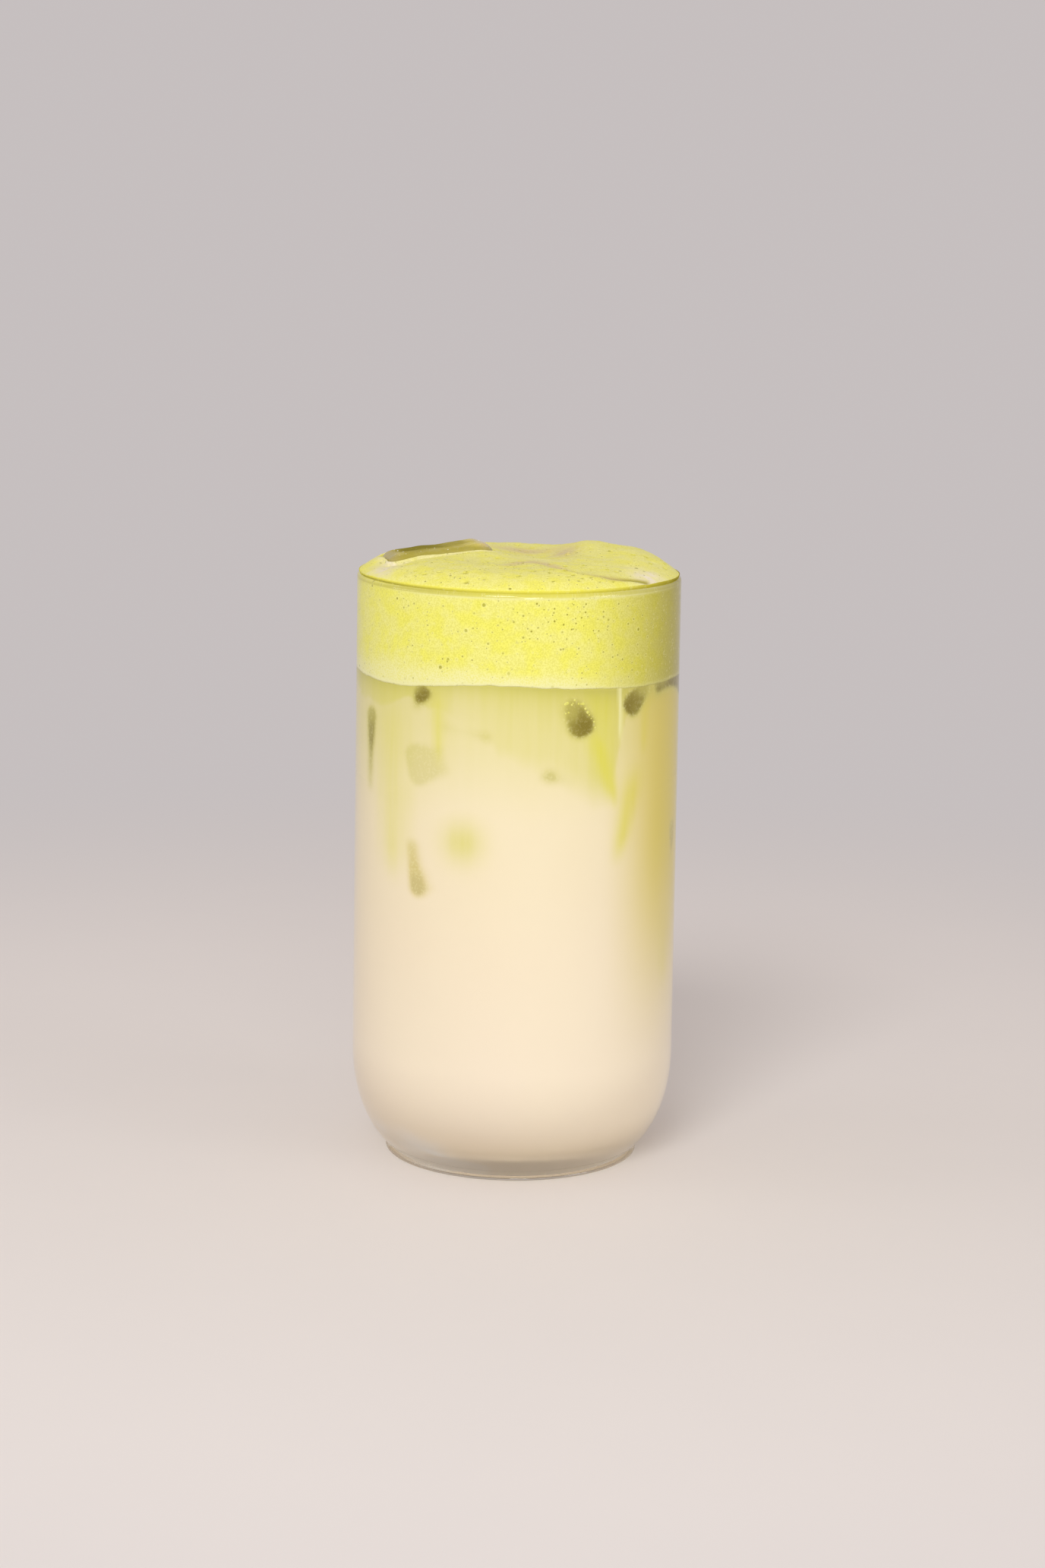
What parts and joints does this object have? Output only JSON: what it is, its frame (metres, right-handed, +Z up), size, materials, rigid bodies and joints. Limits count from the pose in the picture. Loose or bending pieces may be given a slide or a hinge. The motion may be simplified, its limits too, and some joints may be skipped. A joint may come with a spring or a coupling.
{
  "type": "iced milk tea with green tea foam in a glass",
  "caption": "Tall straight clear glass with a rounded lower corner, filled with pale iced milk tea under a thick domed layer of green foam, with ice breaking the top.",
  "frame": {"origin": "on the surface that the glass stands on, under the middle of its foot", "axes": "+Z up along the glass's axis, +X to the right as the drink is seen from its front, +Y away from the front"},
  "size_m": [0.0768, 0.0768, 0.1459],
  "materials": {
    "glass": "clear and polished",
    "milk_tea": "opaque milky cream liquid, green near the foam and taupe at the bottom",
    "matcha_foam": "fine yellow-green foam with small open bubbles",
    "ice_block": "wet clear ice, tinted olive by the drink"
  },
  "bodies": {
    "root": {"glass": "glass", "milk_tea": "milk_tea", "matcha_foam": "matcha_foam", "ice_block": "ice_block"}
  },
  "joints": []
}
